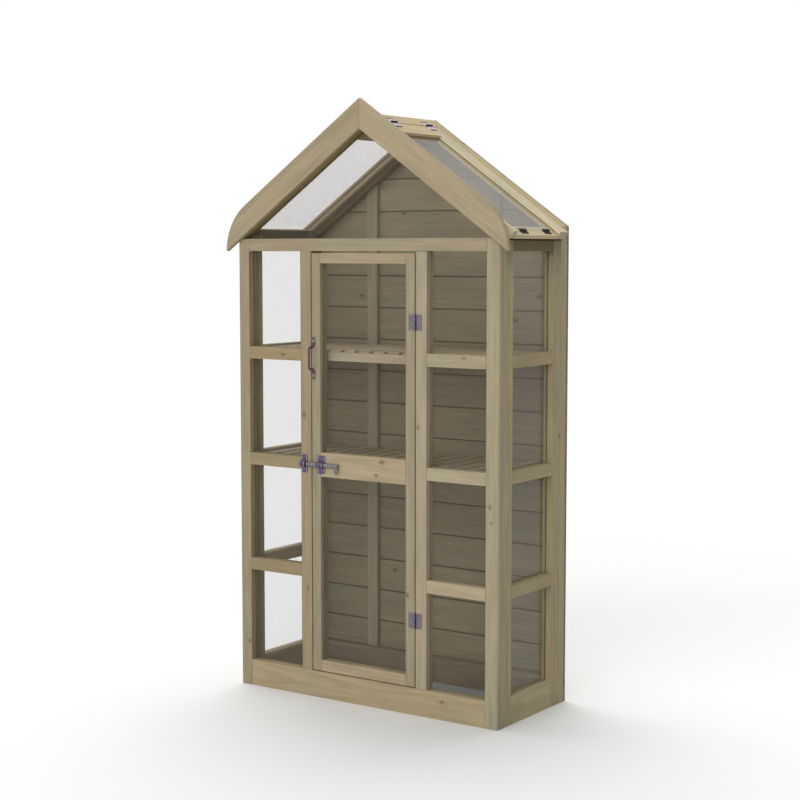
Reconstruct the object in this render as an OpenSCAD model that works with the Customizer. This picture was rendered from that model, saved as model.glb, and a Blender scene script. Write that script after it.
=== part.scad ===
// Wooden greenhouse that stands against a wall: gabled roof with an opening vent on the
// right slope, glazed front and sides, boarded back, one glazed door and two slatted shelves.
// Millimetres. X runs across the front, Y from front to back, Z up from the ground.
// The origin lies on the ground, in the middle of the whole thing's plan.

/* [Overall] */
// Width over the corner posts
frame_w = 1120; // [960:1:1500]
// Depth over the front and back frames, without the weatherboards
frame_d = 454; // [400:1:800]
// Height of the top edge of the front top rail
wall_h = 1658; // [1560:1:1850]
// Slope of the roof in degrees
pitch = 35; // [28:0.5:42]

/* [Front and back frames] */
// Thickness of the front and back frames
frame_t = 40; // [34:1:50]
// Width of a corner post
post_w = 50; // [40:1:70]
// Radius on the outer edge of a corner post
post_r = 8; // [1:0.5:10]
// Width of the upright on each side of the door
mullion_w = 45; // [36:1:60]
// Height of a glazing rail
rail_h = 45; // [30:1:60]
// Distance from one glazing rail to the next
rail_pitch = 392; // [320:1:420]
// Number of glazing rails under the top rail
rail_count = 3; // [1:1:3]
// Height of the plinth boards
plinth_h = 96; // [60:1:120]
// Width of the door opening
opening_w = 453; // [400:1:560]
// Width of a batten in the back frame
batten_w = 46; // [30:1:60]
// Thickness of a batten in the back frame
batten_t = 18; // [12:1:30]
// Distance from the middle of the back to the middle of a batten
batten_x = 270; // [150:1:320]

/* [Side frames] */
// Width of a side stile
side_stile_w = 49; // [36:1:70]
// Thickness of a side frame
side_t = 40; // [34:1:46]
// Height from the top of the wall down to the side rail's outer edge
side_drop = 8; // [0:0.5:12]
// Width of the shadow rebate along the top of a side rail
side_lip = 14; // [4:1:16]

/* [Glazing] */
// Thickness of a pane
pane_t = 4; // [3:0.5:6]
// Depth of the groove that holds a pane
groove_d = 6; // [4:0.5:9]
// Distance from a wall's outer face to its groove
pane_inset = 24; // [8:1:26]
// Distance from the door's outer face to its groove
door_inset = 17; // [8:1:24]
// Play of a pane in its groove
play = 0.25; // [0.1:0.05:0.5]

/* [Roof] */
// Height of a rafter, square to the slope
rafter_h = 47; // [36:1:60]
// Width of a rafter's level seat on the post
seat_w = 22; // [10:1:34]
// Thickness of the roof frames
roof_t = 30; // [24:1:34]
// Thickness of the foot rails, which the panes lie on
foot_t = 15; // [8:1:20]
// Width of the ridge beam on each slope
ridge_w = 50; // [40:1:70]
// Width of the vent's back stile
vent_back_w = 56; // [36:1:70]
// Width of the vent's front stile
vent_front_w = 24; // [20:1:60]
// Width of the stiles of the fixed roof frame
fixed_stile_w = 26; // [20:1:60]
// Width of the roof's upper rail
roof_head_w = 62; // [40:1:80]
// Width of the roof's foot rail
roof_foot_w = 52; // [36:1:70]
// How far the roof frames stand out past the walls, measured level
roof_out = 13; // [6:1:24]
// Gap between the vent and the fixed roof round it
vent_gap = 3; // [2:0.5:5]
// Width of the foot rail left bare below the pane
pane_short = 25; // [18:1:30]

/* [Bargeboards] */
// Width of a bargeboard
barge_w = 86; // [70:1:110]
// Thickness of a bargeboard
barge_t = 18; // [12:1:24]
// How far a bargeboard's foot stands out past the wall
barge_out = 42; // [30:1:60]

/* [Weatherboards] */
// Thickness of a weatherboard
board_t = 12; // [10:1:18]
// Height that each weatherboard covers
board_pitch = 120.5; // [90:0.5:150]
// Height of the first lap above the ground
board_first = 73.5; // [40:0.5:118]
// Height of the lap
lap_h = 10; // [6:0.5:16]
// Radius of the hollow along the top of a weatherboard
board_cove = 3; // [2:0.5:12]
// Clearance between two weatherboards in their lap
board_gap = 0.3; // [0.2:0.1:1]
// Height of the open seam between two weatherboards inside
board_seam = 4; // [0.5:0.5:6]

/* [Door] */
// Gap on each side of the door
door_gap = 4; // [3:0.5:6]
// Gap under the door
door_lift = 3; // [2:0.5:8]
// Gap over the door
door_head_gap = 6; // [3:0.5:10]
// Width of a door stile
door_stile_w = 38; // [32:1:60]
// Height of the door's top rail
door_top_h = 37; // [30:1:60]
// Height of the door's middle rail
door_mid_h = 88; // [72:1:110]
// Height of the door's bottom rail
door_bottom_h = 40; // [30:1:90]
// Width of the stop strip behind the door
stop_w = 26; // [16:1:34]
// Thickness of the stop strip behind the door
stop_t = 12; // [8:1:16]

/* [Hinges] */
// Height of a door hinge
hinge_h = 54; // [40:1:70]
// Length of a vent hinge
vent_hinge_h = 36; // [24:1:50]
// Width of one hinge leaf, from the pin
leaf_w = 27; // [20:1:36]
// Thickness of a hinge leaf
leaf_t = 2; // [1.5:0.1:2.5]
// Radius of a hinge knuckle
knuckle_r = 3.5; // [3:0.1:4.5]
// Radius of a hinge pin
pin_r = 1.75; // [1.2:0.05:2]
// Distance from each end of the door to the middle of its hinge
hinge_end = 236; // [60:1:320]
// Distance from the vent's front edge to the middle of its front hinge
vent_hinge_front = 90; // [40:1:120]
// Distance from the vent's back edge to the middle of its back hinge
vent_hinge_back = 56; // [40:1:120]

/* [Handle] */
// Length of the door handle over its two feet
handle_l = 156; // [130:1:190]
// Distance from the door to the middle of the grip
handle_reach = 29; // [26:1:50]
// Diameter of the handle's bar
handle_d = 7; // [6:0.5:10]
// Radius of the handle's bends
handle_r = 8; // [6:0.5:8]
// Length of a flat handle foot
handle_foot_l = 31; // [24:1:36]
// Width of a flat handle foot
handle_foot_w = 15; // [12:1:20]
// Thickness of a flat handle foot
handle_foot_t = 3; // [2:0.5:5]
// Distance from the door's edge to the handle's feet
handle_edge = 1.5; // [1:0.5:8]
// Height of the handle's middle above the ground
handle_z = 1233; // [1000:1:1400]

/* [Bolt] */
// Radius of the bolt
bolt_r = 8; // [5:0.5:9]
// Length of the bolt past its thumb tab
bolt_tail = 2; // [0:1:30]
// Travel of the bolt
bolt_travel = 46; // [36:1:46]
// Thickness of the straps that hold the bolt
strap_t = 2.5; // [1.5:0.5:3]
// Height of the straps over their two flanges
strap_h = 66; // [50:1:76]
// Width of the strap on the door
strap_w = 34; // [24:1:36]
// Width of the keep on the upright
keep_w = 26; // [16:1:30]
// Distance from the door's edge to the strap
strap_in = 24; // [18:1:28]
// Clearance round the bolt
bolt_gap = 0.4; // [0.2:0.1:0.8]
// Width of the bolt's thumb tab
tab_w = 14; // [10:1:18]
// Length of the bolt's thumb tab
tab_l = 30; // [22:1:34]
// Thickness of the bolt's thumb tab
tab_t = 4; // [3:0.5:5]

/* [Pane clips] */
// Width of a pane clip
clip_w = 44; // [30:1:50]
// Thickness of a pane clip
clip_t = 2; // [1:0.5:3]
// Distance from the vent's front stile to the middle of the front clip
clip_front = 78; // [30:1:100]
// Distance from the vent's back stile to the middle of the back clip
clip_back = 54; // [30:1:100]

/* [Shelves] */
// Width of a shelf slat
slat_w = 46; // [30:1:60]
// Thickness of a shelf slat
slat_t = 8; // [6:1:12]
// Distance from one slat to the next
slat_pitch = 63; // [50:1:90]
// Thickness of a shelf bearer
bearer_t = 20; // [16:1:30]
// Height of a shelf bearer
bearer_h = 32; // [24:1:36]

/* [Hidden] */
$fn = 48;
half_w = frame_w / 2;
slope = tan(pitch);
square = cos(pitch);
// Height of the top rail's lower edge, and of the lower edges of the glazing rails
top_z = wall_h - rail_h;
function rail_z(i) = top_z - i * rail_pitch;
function pane_lo(i) = i < rail_count ? rail_z(i + 1) + rail_h : plinth_h;
function pane_hi(i) = rail_z(i);
// Front bays
bay_x0 = opening_w / 2 + mullion_w;
bay_x1 = half_w - post_w;
// Side bays, measured back from the front frame's back face
side_l = frame_d - 2 * frame_t;
side_x0 = side_stile_w;
side_x1 = side_l - side_stile_w;
// Roof heights at the middle: the rafters' lower edge and the roof's top
low_z = wall_h + slope * (half_w - seat_w);
ridge_z = low_z + rafter_h / square;
under_z = ridge_z - roof_t / square;
// Distance down the slope to the roof frames' foot, and to the pane's foot
foot_s = (half_w + roof_out + roof_t * sin(pitch)) / square;
pane_s = foot_s - pane_short;
// Groove and door sizes
slot_t = pane_t + 2 * play;
door_x = opening_w / 2 - door_gap;
door_z0 = plinth_h + door_lift;
door_z1 = top_z - door_head_gap;
rest_gap = 0.3;
door_t = frame_t - rest_gap;
// The door's middle rail stands level with the second glazing rail
door_mid_z = rail_z(2) + (rail_h - door_mid_h) / 2;
// Hinge places
knuckles = 5;
knuckle_gap = 0.3;
pin_gap = 0.05;
barrel_lift = 0.2;
axis_out = knuckle_r + barrel_lift;
hinge_x = opening_w / 2 - door_gap / 2;
hinge_s = ridge_w + vent_gap / 2;
// Bolt places: the straps' middles, and the bolt's tip when it is drawn back
keep_edge = 1;
bolt_y = -(1.5 + bolt_r);
bolt_z = door_mid_z + door_mid_h / 2;
strap_x = -door_x + strap_in + strap_w / 2;
keep_x = -opening_w / 2 - mullion_w + keep_edge + keep_w / 2;
tip_x = keep_x + keep_w / 2 + 2;
tab_x = strap_x + strap_w / 2 + bolt_travel + 1;
// Handle places
handle_x = -door_x + handle_edge + handle_foot_w / 2;
handle_rise = handle_l / 2 - handle_foot_l;
handle_front = handle_reach + handle_d / 2;
// Shelf places
shelf_y0 = frame_t + stop_t + 2;
shelf_y1 = frame_d - frame_t - 2;
slat_count = floor((frame_w - 2 * side_t - slat_w) / slat_pitch) + 1;
// Shift that brings the plan's middle to the origin
mid_y = (frame_d + board_t - handle_front) / 2;

// Every piece is drawn with the front frame's outer face at Y = 0, then moved here
module placed() {
    translate([0, -mid_y, 0])
        children();
}

// A frame on the right side: its X runs back from the front frame, its Y runs inwards
module on_right_side() {
    translate([half_w, frame_t, 0])
        rotate([0, 0, 90])
            children();
}

// The right slope: X runs down it from the ridge, Z stands square out of it
module on_right_slope() {
    translate([0, 0, ridge_z])
        rotate([0, pitch, 0])
            children();
}

module mirrored(left) {
    mirror([left ? 1 : 0, 0, 0])
        children();
}

// A flat outline in X and Z, made t thick from y backwards
module upright_plate(y, t) {
    translate([0, y + t, 0])
        rotate([90, 0, 0])
            linear_extrude(t)
                children();
}

// The groove cut for a pane with the given sight edges, and the pane that stands in it
module pane_groove(x0, x1, z0, z1, y) {
    translate([x0 - groove_d, y, z0 - groove_d])
        cube([x1 - x0 + 2 * groove_d, slot_t, z1 - z0 + 2 * groove_d]);
}

module pane(x0, x1, z0, z1, y) {
    reach = groove_d - play;
    translate([x0 - reach, y + play, z0 - groove_d])
        cube([x1 - x0 + 2 * reach, pane_t, z1 - z0 + groove_d + reach]);
}

module bay_grooves(x0, x1) {
    for (i = [0:rail_count])
        pane_groove(x0, x1, pane_lo(i), pane_hi(i), pane_inset);
}

module bay_panes(x0, x1) {
    for (i = [0:rail_count])
        pane(x0, x1, pane_lo(i), pane_hi(i), pane_inset);
}

module bay_rails(x0, x1, t) {
    for (i = [1:rail_count])
        translate([x0, 0, rail_z(i)])
            cube([x1 - x0, t, rail_h]);
}

// Outline of a post with its outer corner rounded
module post_outline() {
    difference() {
        translate([half_w - post_w, 0])
            square([post_w, frame_t]);
        translate([half_w - post_r, 0])
            difference() {
                translate([0, -1])
                    square([post_r + 1, post_r + 1]);
                translate([0, post_r])
                    circle(post_r);
            }
    }
}

module front_post(left) {
    color("burlywood") placed() mirrored(left)
        difference() {
            linear_extrude(wall_h)
                post_outline();
            bay_grooves(bay_x0, bay_x1);
        }
}
module front_post_left() { front_post(true); }
module front_post_right() { front_post(false); }

module front_mullion(left) {
    color("tan") placed() mirrored(left)
        difference() {
            translate([opening_w / 2, 0, plinth_h])
                cube([mullion_w, frame_t, top_z - plinth_h]);
            bay_grooves(bay_x0, bay_x1);
        }
}
module front_mullion_left() { front_mullion(true); }
module front_mullion_right() { front_mullion(false); }

module both_bay_grooves() {
    bay_grooves(bay_x0, bay_x1);
    mirror([1, 0, 0])
        bay_grooves(bay_x0, bay_x1);
}

// Triangle under the rafters, grown by g on the slopes and downwards, with its corners cut off
module gable_outline(g, half) {
    top = low_z + g / square;
    base = wall_h - g;
    intersection() {
        polygon([[-(top - base) / slope, base], [(top - base) / slope, base], [0, top]]);
        translate([-half, base])
            square([2 * half, top - base]);
    }
}

module gable_groove() {
    upright_plate(pane_inset, slot_t)
        gable_outline(groove_d, bay_x1 - play / 2);
}

module gable_pane() {
    reach = groove_d - play;
    color("lightcyan") placed()
        upright_plate(pane_inset + play, pane_t)
            intersection() {
                gable_outline(reach, bay_x1 - play);
                translate([-half_w, wall_h - groove_d])
                    square([frame_w, low_z]);
            }
}

module front_top_rail() {
    color("burlywood") placed()
        difference() {
            translate([-bay_x1, 0, top_z])
                cube([2 * bay_x1, frame_t, rail_h]);
            both_bay_grooves();
            gable_groove();
        }
}

module front_plinth() {
    color("burlywood") placed()
        difference() {
            translate([-bay_x1, 0, 0])
                cube([2 * bay_x1, frame_t, plinth_h]);
            both_bay_grooves();
        }
}

module front_rails(left) {
    color("tan") placed() mirrored(left)
        difference() {
            bay_rails(bay_x0, bay_x1, frame_t);
            bay_grooves(bay_x0, bay_x1);
        }
}
module front_rails_left() { front_rails(true); }
module front_rails_right() { front_rails(false); }

module front_panes_left() {
    color("lightcyan") placed() mirrored(true) bay_panes(bay_x0, bay_x1);
}
module front_panes_right() {
    color("lightcyan") placed() bay_panes(bay_x0, bay_x1);
}

// A rafter sits level on the post and meets its twin at a plumb cut
module rafter_outline() {
    end_z = ridge_z - slope * half_w;
    polygon([[0, low_z], [0, ridge_z], [half_w, end_z], [half_w, wall_h],
        [half_w - seat_w, wall_h]]);
}

module front_rafter(left) {
    color("tan") placed() mirrored(left)
        difference() {
            upright_plate(0, frame_t)
                rafter_outline();
            gable_groove();
        }
}
module front_rafter_left() { front_rafter(true); }
module front_rafter_right() { front_rafter(false); }

// The lower edge runs straight to the tip, and the upper edge bends down to it in one arc
module barge_outline() {
    tip_x = half_w + barge_out;
    tip_z = low_z - slope * tip_x;
    top = low_z + barge_w / square;
    sweep_r = barge_w / (1 - sin(pitch));
    bend_x = tip_x - sweep_r;
    touch_x = bend_x + sweep_r * sin(pitch);
    difference() {
        polygon([[0, low_z], [0, top], [tip_x, top - slope * tip_x], [tip_x, tip_z]]);
        difference() {
            polygon([[touch_x, top - slope * touch_x + 1], [tip_x + 1, top - slope * tip_x],
                [tip_x + 1, tip_z], [tip_x, tip_z], [bend_x, tip_z]]);
            translate([bend_x, tip_z])
                circle(sweep_r, $fn = 180);
        }
    }
}

module bargeboard(left) {
    color("burlywood") placed() mirrored(left)
        upright_plate(-barge_t, barge_t)
            barge_outline();
}
module bargeboard_left() { bargeboard(true); }
module bargeboard_right() { bargeboard(false); }

// Section of a side frame above z0: its top slopes with the roof behind a shadow rebate
module side_section(z0, gap) {
    function bed_z(y) = under_z - slope * (half_w - y) - gap;
    polygon([[0, z0], [0, wall_h - side_drop], [side_lip, wall_h - side_drop],
        [side_lip, bed_z(side_lip)], [side_t, bed_z(side_t)], [side_t, z0]]);
}

module side_piece(x0, x1, z0, gap) {
    translate([x0, 0, 0])
        rotate([90, 0, 90])
            linear_extrude(x1 - x0)
                side_section(z0, gap);
}

module side_stiles(left) {
    gap = left ? 0 : rest_gap;
    color("peru") placed() mirrored(left) on_right_side()
        difference() {
            union() {
                side_piece(0, side_x0, 0, gap);
                side_piece(side_x1, side_l, 0, gap);
            }
            bay_grooves(side_x0, side_x1);
        }
}
module side_stiles_left() { side_stiles(true); }
module side_stiles_right() { side_stiles(false); }

module side_rails(left) {
    color("peru") placed() mirrored(left) on_right_side()
        difference() {
            bay_rails(side_x0, side_x1, side_t);
            bay_grooves(side_x0, side_x1);
        }
}
module side_rails_left() { side_rails(true); }
module side_rails_right() { side_rails(false); }

module side_top_rail(left) {
    color("peru") placed() mirrored(left) on_right_side()
        difference() {
            side_piece(side_x0, side_x1, top_z, left ? 0 : rest_gap);
            bay_grooves(side_x0, side_x1);
        }
}
module side_top_rail_left() { side_top_rail(true); }
module side_top_rail_right() { side_top_rail(false); }

module side_plinth(left) {
    color("peru") placed() mirrored(left) on_right_side()
        difference() {
            translate([side_x0, 0, 0])
                cube([side_x1 - side_x0, side_t, plinth_h]);
            bay_grooves(side_x0, side_x1);
        }
}
module side_plinth_left() { side_plinth(true); }
module side_plinth_right() { side_plinth(false); }

module side_panes(left) {
    color("lightcyan") placed() mirrored(left) on_right_side()
        bay_panes(side_x0, side_x1);
}
module side_panes_left() { side_panes(true); }
module side_panes_right() { side_panes(false); }

module back_posts() {
    color("peru") placed()
        for (left = [true, false])
            mirrored(left)
                translate([half_w - post_w, frame_d - frame_t, 0])
                    cube([post_w, frame_t, wall_h]);
}

// Two battens stand on the back plinth and are cut to the rafters
module back_battens() {
    x0 = batten_x - batten_w / 2;
    x1 = batten_x + batten_w / 2;
    color("peru") placed()
        for (left = [true, false])
            mirrored(left)
                upright_plate(frame_d - batten_t, batten_t)
                    polygon([[x0, plinth_h], [x1, plinth_h], [x1, low_z - slope * x1],
                        [x0, low_z - slope * x0]]);
}

module back_plinth() {
    color("peru") placed()
        translate([-bay_x1, frame_d - frame_t, 0])
            cube([2 * bay_x1, frame_t, plinth_h]);
}

module back_rafter(left) {
    color("peru") placed() mirrored(left)
        upright_plate(frame_d - frame_t, frame_t)
            rafter_outline();
}
module back_rafter_left() { back_rafter(true); }
module back_rafter_right() { back_rafter(false); }

// Section of a weatherboard between two laps, with a hollow outside along its top edge
module board_section(z0, z1, lapped) {
    tongue_t = board_t / 2;
    low_in = z0 + (lapped ? board_seam : 0);
    low_out = z0 - (lapped ? lap_h : 0);
    shoulder_z = z1 - lap_h - board_gap;
    difference() {
        polygon([[0, low_in], [0, z1], [board_t, z1], [board_t, low_out],
            [tongue_t + board_gap, low_out], [tongue_t + board_gap, low_in]]);
        translate([tongue_t, shoulder_z])
            square([board_t, 2 * lap_h]);
        translate([tongue_t + board_cove, shoulder_z])
            circle(board_cove);
    }
}

module weatherboard(z0, z1, lapped) {
    translate([-half_w, frame_d, 0])
        rotate([90, 0, 90])
            linear_extrude(frame_w)
                board_section(z0, z1, lapped);
}

module back_boards() {
    eave_z = ridge_z - slope * half_w;
    laps = ceil((ridge_z - board_first) / board_pitch);
    color("sienna") placed()
        for (i = [0:laps]) {
            z0 = i == 0 ? 0 : board_first + (i - 1) * board_pitch;
            z1 = board_first + i * board_pitch;
            if (z1 < eave_z)
                weatherboard(z0, z1, i > 0);
            else if (z0 - lap_h < ridge_z - 4 * lap_h)
                intersection() {
                    weatherboard(z0, z1, i > 0);
                    upright_plate(frame_d - 1, board_t + 2)
                        polygon([[-half_w, 0], [half_w, 0], [half_w, eave_z], [0, ridge_z],
                            [-half_w, eave_z]]);
                }
        }
}

// The ridge beam carries both slopes' heads, and its sides stand square to them
module ridge_beam() {
    top_x = ridge_w * square;
    top_z = ridge_z - ridge_w * sin(pitch);
    low_x = top_x - roof_t * sin(pitch);
    foot_z = top_z - roof_t * square;
    color("tan") placed()
        upright_plate(frame_t, side_l)
            polygon([[0, ridge_z], [top_x, top_z], [low_x, foot_z], [-low_x, foot_z],
                [-top_x, top_z]]);
}

// A roof frame whose head starts at s0 down the slope. Its panes lie between y0 and y1, and
// its stiles reach from there by their widths: front_w to the front and back_w to the back.
module roof_grooves(s0, y0, y1) {
    head_s = s0 + roof_head_w - groove_d;
    translate([head_s, y0 - groove_d, -foot_t])
        cube([foot_s + 1 - head_s, y1 - y0 + 2 * groove_d, slot_t]);
}

module roof_stiles(s0, y0, y1, front_w, back_w) {
    difference() {
        union() {
            translate([s0, y0 - front_w, -roof_t])
                cube([foot_s - s0, front_w, roof_t]);
            translate([s0, y1, -roof_t])
                cube([foot_s - s0, back_w, roof_t]);
        }
        roof_grooves(s0, y0, y1);
    }
}

module roof_head(s0, y0, y1) {
    difference() {
        translate([s0, y0, -roof_t])
            cube([roof_head_w, y1 - y0, roof_t]);
        roof_grooves(s0, y0, y1);
    }
}

module roof_foot(y0, y1) {
    translate([foot_s - roof_foot_w, y0, -roof_t])
        cube([roof_foot_w, y1 - y0, roof_t - foot_t]);
}

module roof_pane(s0, y0, y1) {
    reach = groove_d - play;
    start = s0 + roof_head_w - reach;
    translate([start, y0 - reach, -foot_t])
        cube([pane_s - start, y1 - y0 + 2 * reach, pane_t]);
}

// The fixed frame fills the left slope between the rafters
left_s0 = ridge_w + rest_gap;
left_y0 = frame_t + fixed_stile_w;
left_y1 = frame_t + side_l - fixed_stile_w;

module roof_stiles_left() {
    color("tan") placed() mirrored(true) on_right_slope()
        roof_stiles(left_s0, left_y0, left_y1, fixed_stile_w, fixed_stile_w);
}

module roof_rails_left() {
    color("tan") placed() mirrored(true) on_right_slope() {
        roof_head(left_s0, left_y0, left_y1);
        roof_foot(left_y0, left_y1);
    }
}

module roof_pane_left() {
    color("lightcyan") placed() mirrored(true) on_right_slope()
        roof_pane(left_s0, left_y0, left_y1);
}

// The vent's front and back edges, and its stiles' inner edges
vent_s0 = ridge_w + vent_gap;
vent_edge = frame_t + vent_gap;
vent_end = frame_t + side_l - vent_gap;
vent_y0 = vent_edge + vent_front_w;
vent_y1 = vent_end - vent_back_w;

module vent_stiles() {
    color("tan") placed() on_right_slope()
        roof_stiles(vent_s0, vent_y0, vent_y1, vent_front_w, vent_back_w);
}

module vent_head_rail() {
    color("tan") placed() on_right_slope() roof_head(vent_s0, vent_y0, vent_y1);
}

module vent_foot_rail() {
    color("tan") placed() on_right_slope() roof_foot(vent_y0, vent_y1);
}

module vent_pane() {
    color("lightcyan") placed() on_right_slope() roof_pane(vent_s0, vent_y0, vent_y1);
}

// A bent strip: it lies on the foot rail, steps up over the pane's edge and holds it down
module vent_pane_clips() {
    step_s = pane_s + rest_gap;
    lip_z = pane_t - foot_t;
    color("dimgray") placed() on_right_slope()
        for (y = [vent_y0 + clip_front, vent_y1 - clip_back])
            translate([0, y + clip_w / 2, 0])
                rotate([90, 0, 0])
                    linear_extrude(clip_w)
                        polygon([[pane_s - 8, lip_z], [pane_s - 8, lip_z + clip_t],
                            [step_s + clip_t, lip_z + clip_t], [step_s + clip_t, clip_t - foot_t],
                            [step_s + 15, clip_t - foot_t], [step_s + 15, -foot_t],
                            [step_s, -foot_t], [step_s, lip_z]]);
}

// A hinge leaf of length l whose pin is the Z axis: the leaf runs along +X, and the wood that
// it is screwed to lies on its +Y side. Its knuckles are the even or the odd ones.
module hinge_leaf(l, odd) {
    each_l = l / knuckles;
    start_x = knuckle_r + knuckle_gap;
    difference() {
        union() {
            translate([start_x, axis_out - leaf_t, -l / 2])
                cube([leaf_w - start_x, leaf_t, l]);
            for (i = [odd ? 1 : 0:2:knuckles - 1])
                translate([0, 0, -l / 2 + i * each_l + knuckle_gap / 2]) {
                    cylinder(r = knuckle_r, h = each_l - knuckle_gap);
                    translate([0, axis_out - leaf_t, 0])
                        cube([start_x + 1, leaf_t, each_l - knuckle_gap]);
                }
        }
        translate([0, 0, -l])
            cylinder(r = pin_r + pin_gap, h = 2 * l);
    }
}

module hinge_pin(l) {
    translate([0, 0, -l / 2])
        cylinder(r = pin_r, h = l);
}

module at_door_hinges() {
    for (z = [door_z0 + hinge_end, door_z1 - hinge_end])
        translate([hinge_x, -axis_out, z])
            children();
}

module at_vent_hinges() {
    on_right_slope()
        for (y = [vent_edge + vent_hinge_front, vent_end - vent_hinge_back])
            translate([hinge_s, y, axis_out])
                rotate([-90, 0, 0])
                    children();
}

module vent_hinge_fixed_leaves() {
    color("lightslategray") placed() at_vent_hinges() mirrored(true) hinge_leaf(vent_hinge_h, false);
}

module vent_hinge_moving_leaves() {
    color("slategray") placed() at_vent_hinges() hinge_leaf(vent_hinge_h, true);
}

module vent_hinge_pins() {
    color("silver") placed() at_vent_hinges() hinge_pin(vent_hinge_h);
}

module door_hinge_fixed_leaves() {
    color("lightslategray") placed() at_door_hinges() hinge_leaf(hinge_h, false);
}

module door_hinge_moving_leaves() {
    color("slategray") placed() at_door_hinges() mirrored(true) hinge_leaf(hinge_h, true);
}

module door_hinge_pins() {
    color("silver") placed() at_door_hinges() hinge_pin(hinge_h);
}

// Door sight edges: the upper and the lower pane
door_sight_x = door_x - door_stile_w;
door_panes_z = [[door_mid_z + door_mid_h, door_z1 - door_top_h],
    [door_z0 + door_bottom_h, door_mid_z]];

module door_grooves() {
    for (z = door_panes_z)
        pane_groove(-door_sight_x, door_sight_x, z[0], z[1], door_inset);
}

module door_stile(x0) {
    difference() {
        translate([x0, 0, door_z0])
            cube([door_stile_w, door_t, door_z1 - door_z0]);
        door_grooves();
    }
}

module door_stile_lock() {
    color("wheat") placed() door_stile(-door_x);
}

module door_stile_hinge() {
    color("wheat") placed() door_stile(door_sight_x);
}

module door_rails() {
    color("wheat") placed()
        difference() {
            for (z = [[door_z0, door_bottom_h], [door_mid_z, door_mid_h],
                    [door_z1 - door_top_h, door_top_h]])
                translate([-door_sight_x, 0, z[0]])
                    cube([2 * door_sight_x, door_t, z[1]]);
            door_grooves();
        }
}

module door_pane(z) {
    color("lightcyan") placed()
        pane(-door_sight_x, door_sight_x, z[0], z[1], door_inset);
}
module door_pane_upper() { door_pane(door_panes_z[0]); }
module door_pane_lower() { door_pane(door_panes_z[1]); }

// A strip behind the lock side's upright that the shut door rests on
module door_stop() {
    lap = door_gap + 8;
    color("tan") placed()
        translate([-opening_w / 2 + lap - stop_w, frame_t, plinth_h])
            cube([stop_w, stop_t, top_z - plinth_h]);
}

// Half of the handle's bar: the straight grip, a bend in towards the door, a short straight run
// and a bend back along the door
module handle_bar() {
    grip = handle_rise - 2 * handle_r;
    run = handle_reach - handle_d / 2 - 2 * handle_r;
    translate([0, -handle_reach, 0])
        cylinder(d = handle_d, h = grip);
    translate([0, handle_r - handle_reach, grip])
        rotate([90, 0, -90])
            rotate_extrude(angle = 90)
                translate([handle_r, 0])
                    circle(d = handle_d);
    translate([0, handle_r - handle_reach, grip + handle_r])
        rotate([-90, 0, 0])
            cylinder(d = handle_d, h = run);
    translate([0, handle_r - handle_reach + run, handle_rise])
        rotate([0, 90, 0])
            rotate_extrude(angle = 90)
                translate([handle_r, 0])
                    circle(d = handle_d);
}

// A bow handle of round bar whose two ends are pressed into flat feet
module door_handle() {
    color("dimgray") placed()
        translate([handle_x, 0, handle_z])
            for (down = [0, 1])
                mirror([0, 0, down]) {
                    handle_bar();
                    translate([0, -handle_d / 2, handle_rise])
                        cylinder(d1 = handle_d, d2 = handle_foot_t, h = handle_foot_l / 3);
                    rotate([90, 0, 0])
                        linear_extrude(handle_foot_t) {
                            translate([-handle_foot_w / 2, handle_rise])
                                square([handle_foot_w, handle_foot_l - handle_foot_w / 2]);
                            translate([0, handle_l / 2 - handle_foot_w / 2])
                                circle(d = handle_foot_w);
                        }
                }
}

// A bent strap w wide round the bolt, with a flange above and below
module strap(x, w) {
    inner = bolt_r + bolt_gap;
    outer = inner + strap_t;
    translate([x - w / 2, 0, bolt_z])
        rotate([90, 0, 90])
            linear_extrude(w)
                difference() {
                    union() {
                        translate([bolt_y, 0])
                            circle(outer);
                        translate([bolt_y, -outer])
                            square([-bolt_y, 2 * outer]);
                        translate([-strap_t, -strap_h / 2])
                            square([strap_t, strap_h]);
                    }
                    translate([bolt_y, 0])
                        circle(inner);
                    translate([bolt_y, -inner])
                        square([-bolt_y, 2 * inner]);
                    translate([0, -outer])
                        square([2 * outer, 2 * outer]);
                }
}

module bolt_strap() {
    color("slategray") placed() strap(strap_x, strap_w);
}

module bolt_keep() {
    color("slategray") placed() strap(keep_x, keep_w);
}

// The bolt drawn back: a round rod with a tapered tip and a thumb tab with an eye
module bolt_rod() {
    taper = 3;
    bolt_l = tab_x + tab_w + bolt_tail - tip_x;
    color("dimgray") placed()
        difference() {
            union() {
                translate([tip_x, bolt_y, bolt_z])
                    rotate([0, 90, 0]) {
                        cylinder(r1 = bolt_r - taper / 2, r2 = bolt_r, h = taper);
                        translate([0, 0, taper])
                            cylinder(r = bolt_r, h = bolt_l - taper);
                    }
                translate([tab_x, bolt_y + tab_t / 2, bolt_z])
                    rotate([90, 0, 0])
                        linear_extrude(tab_t) {
                            translate([0, tab_w / 2 - tab_l])
                                square([tab_w, tab_l - tab_w / 2]);
                            translate([tab_w / 2, tab_w / 2 - tab_l])
                                circle(tab_w / 2);
                        }
            }
            translate([tab_x + tab_w / 2, bolt_y + tab_t, bolt_z + tab_w / 2 - tab_l])
                rotate([90, 0, 0])
                    cylinder(d = tab_w / 2, h = 2 * tab_t);
        }
}

// Two shelves level with the upper glazing rails: bearers front and back, slats across them
shelf_levels = [1, 2];

module shelf_bearers() {
    inner_w = frame_w - 2 * side_t;
    color("tan") placed()
        for (i = shelf_levels)
            for (y = [shelf_y0, shelf_y1 - bearer_t])
                translate([-inner_w / 2, y, rail_z(i)])
                    cube([inner_w, bearer_t, bearer_h]);
}

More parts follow.
